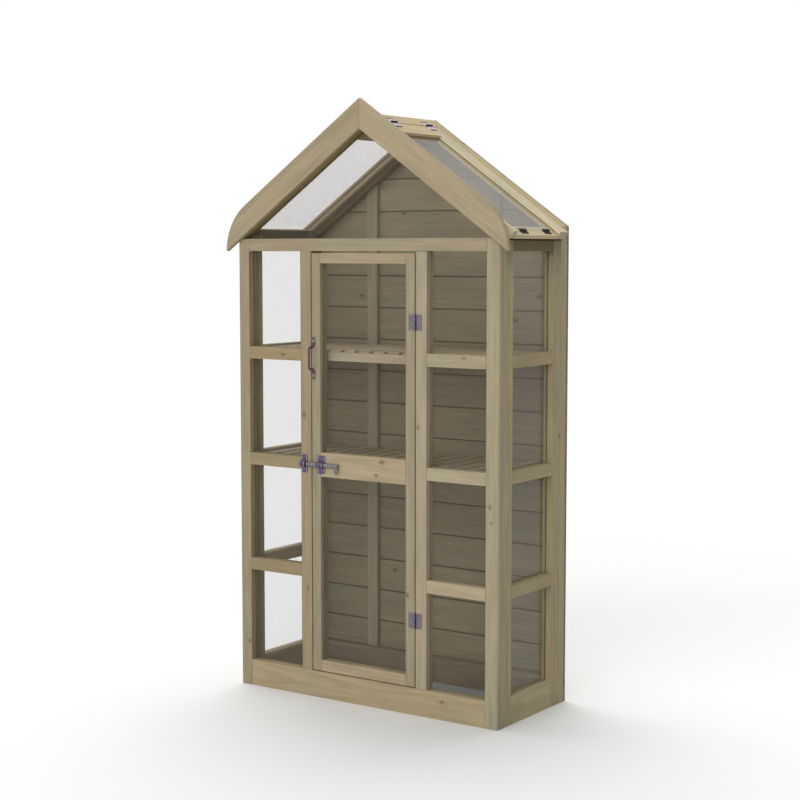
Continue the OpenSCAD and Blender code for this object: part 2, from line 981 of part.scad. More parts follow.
module shelf_slats() {
    first_x = -(slat_count - 1) * slat_pitch / 2 - slat_w / 2;
    color("wheat") placed()
        for (i = shelf_levels)
            for (k = [0:slat_count - 1])
                translate([first_x + k * slat_pitch, shelf_y0, rail_z(i) + bearer_h])
                    cube([slat_w, shelf_y1 - shelf_y0, slat_t]);
}

front_post_left();
front_post_right();
front_mullion_left();
front_mullion_right();
front_top_rail();
front_plinth();
front_rails_left();
front_rails_right();
front_panes_left();
front_panes_right();
gable_pane();
front_rafter_left();
front_rafter_right();
bargeboard_left();
bargeboard_right();
side_stiles_left();
side_rails_left();
side_top_rail_left();
side_plinth_left();
side_panes_left();
side_stiles_right();
side_rails_right();
side_top_rail_right();
side_plinth_right();
side_panes_right();
back_posts();
back_battens();
back_plinth();
back_rafter_left();
back_rafter_right();
back_boards();
ridge_beam();
roof_stiles_left();
roof_rails_left();
roof_pane_left();
vent_stiles();
vent_head_rail();
vent_foot_rail();
vent_pane();
vent_pane_clips();
vent_hinge_fixed_leaves();
vent_hinge_moving_leaves();
vent_hinge_pins();
door_stile_lock();
door_stile_hinge();
door_rails();
door_pane_upper();
door_pane_lower();
door_hinge_fixed_leaves();
door_hinge_moving_leaves();
door_hinge_pins();
door_handle();
door_stop();
bolt_strap();
bolt_keep();
bolt_rod();
shelf_bearers();
shelf_slats();
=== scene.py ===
# Wooden greenhouse that stands against a wall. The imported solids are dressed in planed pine,
# clear glazing and zinc, and the screws of the ironmongery are added. The nails in the back are
# part of its material. Metres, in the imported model's own frame.
import math

import bpy
from mathutils import Euler, Matrix, Vector


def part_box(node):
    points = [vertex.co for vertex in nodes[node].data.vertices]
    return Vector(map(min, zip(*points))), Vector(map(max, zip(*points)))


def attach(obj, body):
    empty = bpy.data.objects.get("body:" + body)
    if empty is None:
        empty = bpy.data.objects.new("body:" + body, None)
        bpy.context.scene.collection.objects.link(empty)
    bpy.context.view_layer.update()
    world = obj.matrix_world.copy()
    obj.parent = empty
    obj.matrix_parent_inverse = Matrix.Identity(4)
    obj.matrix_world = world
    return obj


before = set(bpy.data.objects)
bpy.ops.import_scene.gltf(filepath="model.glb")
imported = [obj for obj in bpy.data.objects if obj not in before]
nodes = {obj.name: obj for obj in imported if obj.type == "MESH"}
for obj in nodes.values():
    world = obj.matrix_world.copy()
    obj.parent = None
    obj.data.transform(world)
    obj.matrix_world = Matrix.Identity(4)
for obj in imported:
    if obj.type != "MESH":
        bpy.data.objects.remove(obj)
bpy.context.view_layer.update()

# The roof's slope, the frame's front and its right side, the outer and the inner side of the back
# boards, the top of the ridge and the top of the side frames
PITCH = math.radians(35)
FRONT_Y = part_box("front_plinth")[0].y
SIDE_X = 0.560
BACK_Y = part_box("back_boards")[1].y
BOARD_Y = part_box("back_boards")[0].y
RIDGE_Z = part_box("ridge_beam")[1].z
EAVES_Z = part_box("side_stiles_right")[1].z


def set_camera():
    """The photo's camera, to the right of the front and a little below the height of the eaves."""
    bpy.ops.object.camera_add(
        location=(3.4429, FRONT_Y - 4.73775, 1.6175),
        rotation=(math.radians(84.885), 0, math.radians(34.712)))
    camera = bpy.context.object
    camera.name = "camera"
    camera.data.lens = 75.43
    camera.data.sensor_width = 36
    camera.data.clip_end = 200
    bpy.context.scene.camera = camera


class Shade:
    """A socket of a shader tree, to calculate with: shade + 1, 1 - shade, shade * shade."""

    def __init__(self, tree, socket=None):
        self.tree = tree
        self.socket = socket

    def make(self, kind, sockets=None, out=0, **settings):
        """A new node's output. Each of its sockets is given a value or another shade."""
        node = self.tree.nodes.new("ShaderNode" + kind)
        for name, value in settings.items():
            setattr(node, name, value)
        for name, value in (sockets or {}).items():
            if isinstance(value, Shade):
                self.tree.links.new(value.socket, node.inputs[name])
            else:
                node.inputs[name].default_value = value
        return Shade(self.tree, node.outputs[out])

    def show(self, kind):
        """Makes this the surface of a Material or a World."""
        output = self.tree.nodes.new("ShaderNodeOutput" + kind)
        self.tree.links.new(self.socket, output.inputs["Surface"])

    def maths(self, operation, *values):
        return self.make("Math", dict(enumerate(values)), operation=operation)

    def __add__(self, other):
        return self.maths("ADD", self, other)

    __radd__ = __add__

    def __sub__(self, other):
        return self.maths("SUBTRACT", self, other)

    def __rsub__(self, other):
        return self.maths("SUBTRACT", other, self)

    def __mul__(self, other):
        return self.maths("MULTIPLY", self, other)

    __rmul__ = __mul__

    def __truediv__(self, other):
        return self.maths("DIVIDE", self, other)

    def __rtruediv__(self, other):
        return self.maths("DIVIDE", other, self)

    def __pow__(self, other):
        return self.maths("POWER", self, other)

    def floor(self):
        return self.maths("FLOOR", self)

    def size(self):
        return self.maths("ABSOLUTE", self)

    def at_least(self, other):
        return self.maths("MAXIMUM", self, other)

    def at_most(self, other):
        return self.maths("MINIMUM", self, other)

    def clipped(self):
        return self.at_least(0.0).at_most(1.0)

    def rise(self, low, high):
        """0 below low, 1 above high, and a soft step between them."""
        return self.make("MapRange", {"Value": self, "From Min": low, "From Max": high},
                         interpolation_type="SMOOTHSTEP")

    def off_row(self, first, pitch):
        """How far this is past the nearest of the places first, first + pitch and so on."""
        turns = (self - first) / pitch + 0.5
        return (turns - turns.floor() - 0.5) * pitch

    def part(self, axis):
        return self.make("SeparateXYZ", {0: self}, out="xyz".index(axis))

    def vector(self, operation, *values, out=0):
        return self.make("VectorMath", dict(enumerate(values)), out, operation=operation)

    def moved(self, other):
        return self.vector("ADD", self, other)

    def stretched(self, factors):
        return self.vector("MULTIPLY", self, factors)

    def away_from(self, place):
        return self.vector("SUBTRACT", self, place)

    def length(self):
        return self.vector("LENGTH", self, out="Value")

    def noise(self, scale=1.0, detail=2.0, roughness=0.5):
        """Soft noise from 0 to 1 at this place."""
        return self.make("TexNoise", {"Vector": self, "Scale": scale, "Detail": detail,
                                      "Roughness": roughness})

    def bump(self, strength, distance):
        """The normal of a surface that has this as its height."""
        return self.make("Bump", {"Strength": strength, "Distance": distance, "Height": self})

    def channel(self, index=0):
        """The red, green or blue of this colour."""
        return self.make("SeparateColor", {0: self}, index)

    def between(self, first, second):
        """The first colour where this is 0, the second one where it is 1."""
        return self.make("Mix", {0: self, 6: first, 7: second}, 2, data_type="RGBA")

    def blended(self, share, other):
        """This colour, turned into the other one by the share."""
        return share.between(self, other)

    def lit(self, light):
        """This colour multiplied by a light."""
        grey = self.make("CombineColor", {0: light, 1: light, 2: light})
        return self.make("Mix", {0: 1.0, 6: self, 7: grey}, 2, data_type="RGBA",
                         blend_type="MULTIPLY")


def colour(red, green, blue):
    """A colour as it is read on a screen, from 0 to 255, as light."""
    def light(value):
        value /= 255
        return value / 12.92 if value <= 0.04045 else ((value + 0.055) / 1.055) ** 2.4
    return (light(red), light(green), light(blue), 1.0)


def tinted(base, factors):
    """A base colour with its red, green and blue multiplied by factors."""
    return tuple(base[i] * factors[i] for i in range(3)) + (1.0,)


def new_material(name):
    """An empty material, and the place in the object as its first shade."""
    material = bpy.data.materials.new(name)
    material.use_nodes = True
    material.node_tree.nodes.clear()
    return material, Shade(material.node_tree).make("TexCoord", out="Object")


# Turns that bring the grain of a piece onto X
GRAIN = {
    "x": (0, 0, 0),
    "y": (0, 0, -math.pi / 2),
    "z": (0, math.pi / 2, 0),
    "down_right": (0, -PITCH, 0),
    "down_left": (0, PITCH, 0),
}

# The seed of a timber is its number times this
SEED_STEP = 7.31
# A second row of pieces counts in steps this much longer, so that no two pieces share a number
ROW_STEP = 13
# How far apart in the tree the pieces of a timber can lie, along the grain and across it
TREE = (9.0, 2.0, 2.0)

# Chance knots lie in a lattice, with so many to a metre along the grain and across it
KNOT_LATTICE = (2.6, 9.0, 9.0)
KNOT_RADIUS = 0.007
# Below 1 these lengthen a knot along the grain
CHANCE_KNOT_LENGTH = 0.62
PLACED_KNOT_LENGTH = 0.68
# Keeps the nearness finite in the very centre of a knot
KNOT_CORE = 0.0004

# How quickly each figure of the wood changes along the grain and across it
CLOUD_FIGURE = (5.0, 14.0, 14.0)
STREAK_FIGURE = (4.5, 46.0, 46.0)
FIBRE_FIGURE = (9.0, 330.0, 330.0)
LAZY_FIGURE = (1.3, 5.0, 5.0)
RING_FIGURE = (0.35, 1.0, 1.0)
RING_SCALE = 46.0
# The rings' heart lies aside of a piece and under it, each with a spread between pieces. It
# wanders along the piece, and a knot pushes it away.
HEART_ASIDE = 0.03
HEART_ASIDE_SPREAD = 0.09
HEART_UNDER = 0.05
HEART_UNDER_SPREAD = 0.05
HEART_WANDER = 0.03
KNOT_PUSH_ASIDE = 0.012
KNOT_PUSH_UP = 0.006

# The light of the wood: what the fibres and the streaks vary it by about a middle value, what
# the pieces add to the darkest one, and how much darker the end grain is
FIBRE_LIGHT = 0.42
STREAK_LIGHT = 0.5
MIDDLE_LIGHT = 1.03
DARKEST_PIECE = 0.95
PIECE_LIGHT = 0.1
END_SHADE = 0.22
# How much of its own colour each part of the figure takes
LATE_SHARE = 0.3
SWIRL_SHARE = 0.16
KNOT_SHARE = 0.75
HALO_SHARE = 0.8
RIM_SHARE = 0.3
SEAM_SHADE_SHARE = 0.6
NAIL_SHARE = 0.45
# What counts as facing along the grain, and along an axis
END_FACING = (0.8, 0.95)
SIDE_FACING = (0.7, 0.9)

# What a timber's own colour is multiplied by, in red, green and blue
WARM_WOOD = (1.06, 0.98, 0.93)
GREENISH_WOOD = (0.96, 0.985, 0.94)
LATE_WOOD = (0.72, 0.68, 0.6)
HEARTWOOD = (0.74, 0.62, 0.48)
BROWN_WOOD = (0.46, 0.36, 0.26)
PALE_ARRIS = (1.0, 0.99, 0.95)
# The darker arris is painted shade in the grooves between pieces
SHADED_ARRIS = (0.66, 0.62, 0.54)

# The weatherboards: the height of the first one's lower edge, and from edge to edge
BOARD_FIRST = 0.0735
BOARD_PITCH = 0.1205
# Their nails: how far over the lower edge, where a head fades out and where its dark ring does
NAIL_UP = 0.025
NAIL_HEAD = (0.0026, 0.0031)
NAIL_RING = (0.003, 0.011)
NAIL_COLOUR = (118, 112, 110)
# Where the painted shade of the seam between two boards fades out
SEAM_SHADE_FADE = (0.0012, 0.0038)


def chance_knots(tree):
    """How near the places of a tree are to its chance knots: 1 at a knot's rim, more inside."""
    spread = tree.stretched(KNOT_LATTICE)
    knot = spread.make("TexVoronoi", {"Vector": spread, "Scale": 1.0, "Randomness": 0.9},
                       "Position")
    chance = knot.make("TexWhiteNoise", {"Vector": knot}, noise_dimensions="3D")
    along, across, upward = KNOT_LATTICE
    apart = knot.away_from(spread).stretched(
        (CHANCE_KNOT_LENGTH / along, 1 / across, 1 / upward)).length()
    return (chance.rise(0.7, 1.0) * KNOT_RADIUS + 0.0001) / (apart + KNOT_CORE)


def placed_knot(turned, centre, radius):
    """How near the places of a piece are to one knot: 1 at its rim, more inside."""
    apart = turned.away_from(centre).stretched((PLACED_KNOT_LENGTH, 1.0, 1.0)).length()
    return radius / (apart + KNOT_CORE)


def late_wood(turned, tree, luck, swirl):
    """The dark part of the growth rings about a heart outside the piece. They part round a knot
    by its swirl."""
    lazy = tree.stretched(LAZY_FIGURE).noise(detail=1.0)
    heart = turned.make("CombineXYZ", {
        0: 0.0,
        1: (luck.channel() * HEART_ASIDE_SPREAD + HEART_ASIDE + (lazy - 0.5) * HEART_WANDER
            + swirl * KNOT_PUSH_ASIDE),
        2: luck.channel(1) * HEART_UNDER_SPREAD - HEART_UNDER + swirl * KNOT_PUSH_UP})
    rings = turned.make("TexWave", {
        "Vector": turned.stretched(RING_FIGURE).moved(heart), "Scale": RING_SCALE,
        "Distortion": 2.2, "Detail": 2.0, "Detail Scale": 0.6},
        wave_type="RINGS", rings_direction="X", wave_profile="SAW")
    return rings.rise(0.35, 0.95)


def board_seam_shade(here, look, brown):
    """The boards' look with a line of painted shade along each lap, in the groove between boards.
    """
    seam = here.part("z").off_row(BOARD_FIRST, BOARD_PITCH).size()
    return look.blended((1 - seam.rise(*SEAM_SHADE_FADE)) * SEAM_SHADE_SHARE, brown)


def nail_heads(here, look, height, columns, brown):
    """The boards' look and height with flush nail heads on their outer side, one in each board at
    every column."""
    x = here.part("x")
    across = (x - columns[0]).size()
    for column in columns[1:]:
        across = across.at_most((x - column).size())
    up = here.part("z").off_row(BOARD_FIRST + NAIL_UP, BOARD_PITCH)
    apart = (across * across + up * up) ** 0.5
    outside = here.part("y").rise(BACK_Y - 0.0015, BACK_Y - 0.0005)
    look = look.blended((1 - apart.rise(*NAIL_RING)) * outside * NAIL_SHARE, brown)
    head = (1 - apart.rise(*NAIL_HEAD)) * outside
    return look.blended(head, colour(*NAIL_COLOUR)), height + head * 1.5


def timber(name, seed, tone, grain, pieces=(), knots=(), nails=(), side_light=(), stain=()):
    """Planed pine whose grain runs one way.
    pieces: (axis, first, pitch) for each row of separate pieces, each with its own figure.
    knots: (x, y, z, radius) of the knots that the photo shows.
    nails: the columns of nails, for the weatherboards.
    side_light: (axis, share) for the sides that face along an axis. They are lighter by the
    share, or darker where it is negative.
    stain: (low, high, share). Above high the timber is darker by the share, or
    lighter where it is negative, and below low it is unchanged. It paints the shade under the
    eaves and the light on the gable's boards, and makes some rails and the top shelf lighter or
    darker."""
    material, here = new_material(name)
    turn = Euler(GRAIN[grain]).to_matrix()
    turned = here.make("Mapping", {"Vector": here, "Rotation": GRAIN[grain]})

    number = here.make("Value")
    number.socket.default_value = seed
    for k, (axis, first, pitch) in enumerate(pieces):
        number = number + ((here.part(axis) - first) / pitch).floor() * (1 + ROW_STEP * k)
    luck = here.make("TexWhiteNoise", {"W": number}, "Color", noise_dimensions="1D")

    # Each piece is sawn out of another place in the tree
    tree = turned.moved(luck.stretched(TREE))
    nearness = chance_knots(tree)
    for x, y, z, radius in knots:
        nearness = nearness.at_least(placed_knot(turned, turn @ Vector((x, y, z)), radius))
    knot = nearness.rise(0.85, 1.15)
    rim = nearness.rise(0.62, 0.95) * (1 - nearness.rise(1.0, 1.5))
    halo = nearness.rise(0.7, 3.5)
    swirl = nearness.rise(0.12, 1.0)

    late = late_wood(turned, tree, luck, swirl)
    fibres = tree.stretched(FIBRE_FIGURE).noise(detail=3.0, roughness=0.6)
    streaks = tree.stretched(STREAK_FIGURE).noise(roughness=0.55)
    clouds = tree.stretched(CLOUD_FIGURE).noise()

    # The light and dark of the fibres, of the whole piece and its end grain, painted light and
    #     # shade on sides that face along an axis, and painted shade, painted light and tone by
    #     height
    facing = here.make("TexCoord", out="Normal")
    along = turn.inverted() @ Vector((1, 0, 0))
    end = facing.vector("DOT_PRODUCT", facing, along, out="Value").size().rise(*END_FACING)
    shine = (fibres - 0.5) * FIBRE_LIGHT + (streaks - 0.5) * STREAK_LIGHT + MIDDLE_LIGHT
    shine = shine * (luck.channel() * PIECE_LIGHT + DARKEST_PIECE) * (1 - end * END_SHADE)
    for axis, share in side_light:
        shine = shine * (facing.part(axis).size().rise(*SIDE_FACING) * share + 1.0)
    for low, high, share in stain:
        shine = shine * (1 - here.part("z").rise(low, high) * share)

    base = colour(*tone)
    brown = tinted(base, BROWN_WOOD)
    look = clouds.rise(0.3, 0.7).between(tinted(base, GREENISH_WOOD), tinted(base, WARM_WOOD))
    look = look.blended(late * LATE_SHARE + swirl * SWIRL_SHARE, tinted(base, LATE_WOOD))
    look = look.lit(shine).blended(knot * KNOT_SHARE, tinted(base, HEARTWOOD))
    look = look.blended(halo * HALO_SHARE, brown).blended(rim * RIM_SHARE, brown)

    # The small relief of the planed face
    height = fibres * 0.5 + late * 0.35 + streaks * 0.3 - rim * 0.6
    if nails:
        look = board_seam_shade(here, look, brown)
        look, height = nail_heads(here, look, height, nails, brown)
    here.make("BsdfPrincipled", {
        "Base Color": look, "Roughness": fibres * 0.16 + late * 0.08 + 0.54,
        "Normal": height.bump(strength=0.35, distance=0.0007),
        "Specular IOR Level": 0.25}).show("Material")
    return material


def worn_and_shaded_edge(name, tone):
    """The rounded arris of a timber: fluffy, and darker in patches as painted shade between pieces.
    """
    material, here = new_material(name)
    base = colour(*tone)
    fluff = here.noise(scale=240.0, detail=3.0)
    long_wave = here.noise(scale=11.0, detail=1.0)
    share = (fluff * 0.5 + long_wave * 0.5).rise(0.36, 0.64)
    here.make("BsdfPrincipled", {
        "Base Color": share.between(tinted(base, SHADED_ARRIS), tinted(base, PALE_ARRIS)),
        "Roughness": fluff * 0.15 + 0.6, "Normal": fluff.bump(strength=0.25, distance=0.0004),
        "Specular IOR Level": 0.3}).show("Material")
    return material


# What one face of a pane mirrors where it is seen from straight ahead, and how much more at a
# glancing angle
FACING_MIRROR = 0.01
GLANCING_MIRROR = 0.78


def glazing(name, tint, film=0.004):
    """A clear pane. It mirrors more at a low angle, by both its faces, and a film of dust dulls
    it."""
    material, here = new_material(name)
    dust = here.noise(scale=60.0, detail=3.0)
    ripple = here.noise(scale=5.0, detail=1.0)
    side = here.make("LayerWeight", {"Blend": 0.5}, "Facing")
    face = side ** 5.0 * GLANCING_MIRROR + FACING_MIRROR
    mirror = face * 2.0 / (face + 1.0)
    clear = here.make("BsdfTransparent", {"Color": tint})
    gloss = here.make("BsdfPrincipled", {
        "Base Color": (0.86, 0.87, 0.88, 1.0), "Metallic": 1.0,
        "Roughness": dust * 0.04 + 0.02, "Normal": ripple.bump(strength=0.05, distance=0.002)})
    pane = here.make("MixShader", {0: mirror.clipped(), 1: clear, 2: gloss})
    haze = here.make("BsdfPrincipled", {
        "Base Color": (0.5, 0.5, 0.5, 1.0), "Roughness": dust * 0.2 + 0.7})
    share = dust.rise(0.3, 0.8) * film + film * 0.5
    here.make("MixShader", {0: share, 1: pane, 2: haze}).show("Material")
    return material


# What plated metal's own colour is multiplied by, in red, green and blue
COOL_METAL = (0.9, 0.92, 1.06)
WARM_METAL = (1.1, 1.03, 1.0)


def plated_metal(name, tone, rough, metallic, patches=0.14, bands=()):
    """Plated or lacquered steel with a cloudy coat and fine rubbing marks. patches is how much
    the coat's light varies. bands has (axis, centre, distance, half width, tone) for each pair of
    bands of another tone, which run at a distance on either side of a centre."""
    material, here = new_material(name)
    base = colour(*tone)
    cloudy = here.noise(scale=90.0, detail=3.0)
    spangle = here.make("TexVoronoi", {"Vector": here, "Scale": 420.0}, "Color").channel()
    marks = here.stretched((900.0, 900.0, 60.0)).noise()
    look = cloudy.rise(0.35, 0.65).between(tinted(base, COOL_METAL), tinted(base, WARM_METAL))
    look = look.lit((spangle - 0.5) * patches + (cloudy - 0.5) * patches + 1.0)
    for axis, centre, distance, half, band_tone in bands:
        off = ((here.part(axis) - centre).size() - distance).size()
        look = look.blended(1 - off.rise(half * 0.7, half * 1.1), colour(*band_tone))
    here.make("BsdfPrincipled", {
        "Base Color": look, "Metallic": metallic, "Roughness": marks * 0.15 + rough,
        "Normal": marks.bump(strength=0.2, distance=0.0002)}).show("Material")
    return material


# The floor as other things see it, its two whites as the camera sees them, and the grey of
# # painted shade on the ground inside, as the photo shows it
DIM_FLOOR = (0.5, 0.5, 0.49, 1.0)
WHITE_FLOOR = (0.935, 0.935, 0.93, 1.0)
WHITER_FLOOR = (0.945, 0.945, 0.94, 1.0)
INNER_FLOOR_SHADE = (0.55, 0.59, 0.61, 1.0)
# The painted shade fades out under the plinths, this far from their faces
UNDER = 0.005


def floor_material():
    """A white studio floor that keeps the greenhouse's soft shadow and throws little light back.
    Between the plinths, where it is seen through the lowest panes, it is painted grey as shade."""
    material, here = new_material("studio_floor")
    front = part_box("front_plinth")
    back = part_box("back_plinth")
    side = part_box("side_plinth_right")
    y = here.part("y")
    inside = ((1 - here.part("x").size().rise(side[0].x + UNDER, side[1].x - UNDER))
              * y.rise(front[0].y + UNDER, front[1].y - UNDER)
              * (1 - y.rise(back[0].y + UNDER, back[1].y - UNDER)))
    ground = here.noise(scale=0.6, detail=1.0).between(WHITE_FLOOR, WHITER_FLOOR)
    # The ground inside is painted grey as shade
    ground = ground.blended(inside, INNER_FLOOR_SHADE)
    seen = here.make("LightPath", out="Is Camera Ray")
    here.make("BsdfPrincipled", {
        "Base Color": seen.between(DIM_FLOOR, ground), "Roughness": 0.9,
        "Specular IOR Level": 0.0}).show("Material")
    return material


# Tones of the timbers, as the photo shows them on a screen
GABLE = (177, 163, 136)
PLINTH = (181, 166, 135)
# The front's left timbers are darker and its right ones lighter: painted light falling more from
# the right
POST_LEFT = (169, 158, 132)
POST_RIGHT = (177, 168, 142)
MULLION_LEFT = (172, 157, 130)
MULLION_RIGHT = (181, 170, 146)
FRONT_RAIL_LEFT = (163, 149, 117)
FRONT_RAIL_RIGHT = (188, 176, 150)
LEFT_SIDE = (176, 168, 143)
RIGHT_SIDE = (182, 171, 140)
RIGHT_SIDE_RAIL = (174, 161, 130)
RIGHT_SIDE_PLINTH = (194, 184, 149)
STILE = (169, 158, 135)
DOOR = (184, 170, 143)
# The roof's timbers are lighter, partly in their own tone and partly as painted light from above
ROOF = (208, 193, 160)
VENT = (211, 202, 174)
INSIDE = (154, 145, 122)
LOW_INSIDE = (148, 137, 118)
BATTEN = (165, 157, 135)
# One timber in two tones: the left back rafter is darker as painted shade, the right one lighter as
# painted light
BACK_RAFTER_LEFT = (130, 116, 88)
BACK_RAFTER_RIGHT = (192, 177, 142)
# The front rafters are darker: painted shade behind the bargeboards
FRONT_RAFTER = (150, 138, 98)
# The sides' top rails are darker: painted shade under the roof's overhang
EAVES_LEFT = (152, 140, 112)
EAVES_RIGHT = (141, 127, 97)
BEARER = (196, 181, 156)
SLAT = (179, 166, 142)

# What several timbers share: the three rows of rails, pieces at the front and back or on the left
# # and right, and the painted shade under the eaves
RAIL_ROWS = [("z", 0.24, 0.392)]
FRONT_AND_BACK = [("y", 0.0, 1.0)]
LEFT_AND_RIGHT = [("x", 0.0, 2.0)]
EAVES_SHADE = [(EAVES_Z - 0.20, EAVES_Z + 0.04, 0.6)]


def cut(tone, grain, **more):
    """A row of TIMBERS, with more of what timber() takes."""
    return {"tone": tone, "grain": grain, **more}


def front_knot(x, z, radius):
    return (x, FRONT_Y, z, radius)


def side_knot(y, z, radius):
    return (SIDE_X, y, z, radius)


def board_knot(x, z, radius):
    return (x, BOARD_Y, z, radius)


# Every timber node. Their order gives the seeds of their figures.
TIMBERS = {
    "front_post_left": cut(POST_LEFT, "z", knots=[front_knot(-0.520, 0.166, 0.006)]),
    "front_post_right": cut(POST_RIGHT, "z", knots=[
        front_knot(0.527, 0.759, 0.006), front_knot(0.532, 0.706, 0.004)]),
    "front_mullion_left": cut(MULLION_LEFT, "z", knots=[
        front_knot(-0.259, 1.028, 0.008), front_knot(-0.245, 0.395, 0.005)]),
    "front_mullion_right": cut(MULLION_RIGHT, "z", knots=[front_knot(0.236, 1.011, 0.005)]),
    "front_top_rail": cut(STILE, "x"),
    "front_plinth": cut(PLINTH, "x", knots=[front_knot(0.337, 0.064, 0.006)]),
    "front_rails_left": cut(FRONT_RAIL_LEFT, "x", pieces=RAIL_ROWS, knots=[
        front_knot(-0.354, 1.241, 0.006)], stain=[(1.0, 1.1, -0.08)]),
    "front_rails_right": cut(FRONT_RAIL_RIGHT, "x", pieces=RAIL_ROWS, knots=[
        front_knot(0.422, 1.255, 0.005)], stain=[(1.0, 1.1, 0.085)]),
    "front_rafter_left": cut(FRONT_RAFTER, "down_left"),
    "front_rafter_right": cut(FRONT_RAFTER, "down_right"),
    "bargeboard_left": cut(GABLE, "down_left"),
    "bargeboard_right": cut(GABLE, "down_right"),
    "side_stiles_left": cut(LEFT_SIDE, "z", pieces=FRONT_AND_BACK, stain=EAVES_SHADE),
    "side_rails_left": cut(LEFT_SIDE, "y", pieces=RAIL_ROWS),
    "side_top_rail_left": cut(EAVES_LEFT, "y", stain=EAVES_SHADE),
    "side_plinth_left": cut(LEFT_SIDE, "y"),
    "side_stiles_right": cut(RIGHT_SIDE, "z", pieces=FRONT_AND_BACK, knots=[
        side_knot(0.191, 0.963, 0.006), side_knot(0.139, 0.660, 0.008)], stain=EAVES_SHADE),
    "side_rails_right": cut(RIGHT_SIDE_RAIL, "y", pieces=RAIL_ROWS, stain=[
        (0.6, 0.7, -0.13), (1.0, 1.1, 0.065)]),
    "side_top_rail_right": cut(EAVES_RIGHT, "y", stain=EAVES_SHADE),
    "side_plinth_right": cut(RIGHT_SIDE_PLINTH, "y"),
    "back_posts": cut(RIGHT_SIDE, "z", pieces=LEFT_AND_RIGHT),
    "back_battens": cut(BATTEN, "z", pieces=LEFT_AND_RIGHT),
    "back_plinth": cut(LOW_INSIDE, "x"),
    "back_rafter_left": cut(BACK_RAFTER_LEFT, "down_left"),
    "back_rafter_right": cut(BACK_RAFTER_RIGHT, "down_right"),
    # The boards are lighter above the eaves: painted light that falls in through the roof
    "back_boards": cut(INSIDE, "x", pieces=[("z", BOARD_FIRST, BOARD_PITCH)], knots=[
        board_knot(0.448, 1.453, 0.007), board_knot(0.350, 1.365, 0.008),
        board_knot(-0.294, 0.341, 0.006), board_knot(-0.176, 0.397, 0.007),
        board_knot(-0.330, 1.444, 0.006), board_knot(-0.135, 1.753, 0.005)],
        nails=(-0.535, -0.270, 0.270, 0.535), stain=[(EAVES_Z - 0.1, EAVES_Z + 0.15, -0.20)]),
    "ridge_beam": cut(ROOF, "y"),
    "roof_stiles_left": cut(GABLE, "down_left", pieces=FRONT_AND_BACK),
    "roof_rails_left": cut(GABLE, "y", pieces=[("x", -0.3, 1.0)]),
    "vent_stiles": cut(VENT, "down_right", pieces=FRONT_AND_BACK, side_light=[("y", 0.35)]),
    "vent_head_rail": cut(ROOF, "y"),
    "vent_foot_rail": cut(ROOF, "y"),
    "door_stile_lock": cut(STILE, "z"),
    "door_stile_hinge": cut(STILE, "z", knots=[front_knot(0.192, 0.421, 0.006)]),
    "door_rails": cut(DOOR, "x", pieces=[("z", 0.5, 0.8)], knots=[
        front_knot(0.084, 0.879, 0.008), front_knot(0.059, 0.831, 0.006)],
        stain=[(1.2, 1.3, 0.1)]),
    "door_stop": cut(INSIDE, "z"),
    "shelf_bearers": cut(BEARER, "x", pieces=[("z", 1.0, 1.0), ("y", 0.0, 1.0)]),
    "shelf_slats": cut(SLAT, "y", pieces=[("x", -0.0095, 0.063), ("z", 1.0, 1.0)],
                       side_light=[("x", -0.15)], stain=[(1.0, 1.1, -0.2)]),
}
EDGES = {tone: worn_and_shaded_edge("worn_edge_%d" % i, tone)
         for i, tone in enumerate(sorted({row["tone"] for row in TIMBERS.values()}))}
# Width of the rounding of an edge, in wood and in metal
WOOD_EDGE = 0.0012
METAL_EDGE = 0.0003


def eased(piece, width, edge_slot=-1):
    """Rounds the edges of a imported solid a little, without changing its mesh."""
    weld = piece.modifiers.new("weld", "WELD")
    weld.merge_threshold = 0.00002
    flat = piece.modifiers.new("flat_faces", "DECIMATE")
    flat.decimate_type = "DISSOLVE"
    flat.angle_limit = math.radians(1)
    bevel = piece.modifiers.new("eased_edges", "BEVEL")
    bevel.width = width
    bevel.segments = 2
    bevel.limit_method = "ANGLE"
    bevel.angle_limit = math.radians(30)
    bevel.use_clamp_overlap = False
    bevel.material = edge_slot


def dress(node, *materials):
    slots = nodes[node].data.materials
    slots.clear()
    for material in materials:
        slots.append(material)


def dress_timbers():
    for number, (node, row) in enumerate(TIMBERS.items(), 1):
        dress(node, timber("pine_" + node, number * SEED_STEP, **row), EDGES[row["tone"]])
        # The boards end in a feather edge below each lap, which leaves no room for a rounding
        if node != "back_boards":
            eased(nodes[node], WOOD_EDGE, 1)


def dress_panes():
    clear = glazing("clear_glazing", (0.957, 0.958, 0.956, 1.0))
    roof_panes = {
        "roof_pane_left": glazing("roof_glazing", (0.985, 0.975, 0.978, 1.0), film=0.015),
        "vent_pane": glazing("vent_glazing", (0.93, 0.92, 0.88, 1.0), film=0.008),
    }
    for node in nodes:
        if "pane" in node and "clips" not in node:
            dress(node, roof_panes.get(node, clear))


# Places of the ironmongery on the front, in x and z: the door's hinge pins and its two hinges,
# the handle's middle with its feet above and below it, and the bolt with its keep and strap
DOOR_PIN_X = 0.2245
DOOR_HINGES_Z = (0.335, 1.371)
HANDLE_X = -0.2135
HANDLE_Z = 1.233
HANDLE_FOOT = 0.0705
BOLT_Z = 0.8515
KEEP_X = -0.2575
STRAP_X = -0.1815
# On the roof, down the slope from the ridge and back from the front
VENT_PIN_DOWN = 0.0515
VENT_HINGES_BACK = (0.133, 0.355)
CLIPS_DOWN = 0.7055
CLIPS_BACK = (0.145, 0.301)

# Tones of the bands on the metal: painted shade in the corners, and painted highlights on the
# # bends and on the handle's feet
PAINTED_SHADE = (40, 34, 44)
GLINT = (236, 230, 240)
FOOT_GLINT = (164, 156, 142)


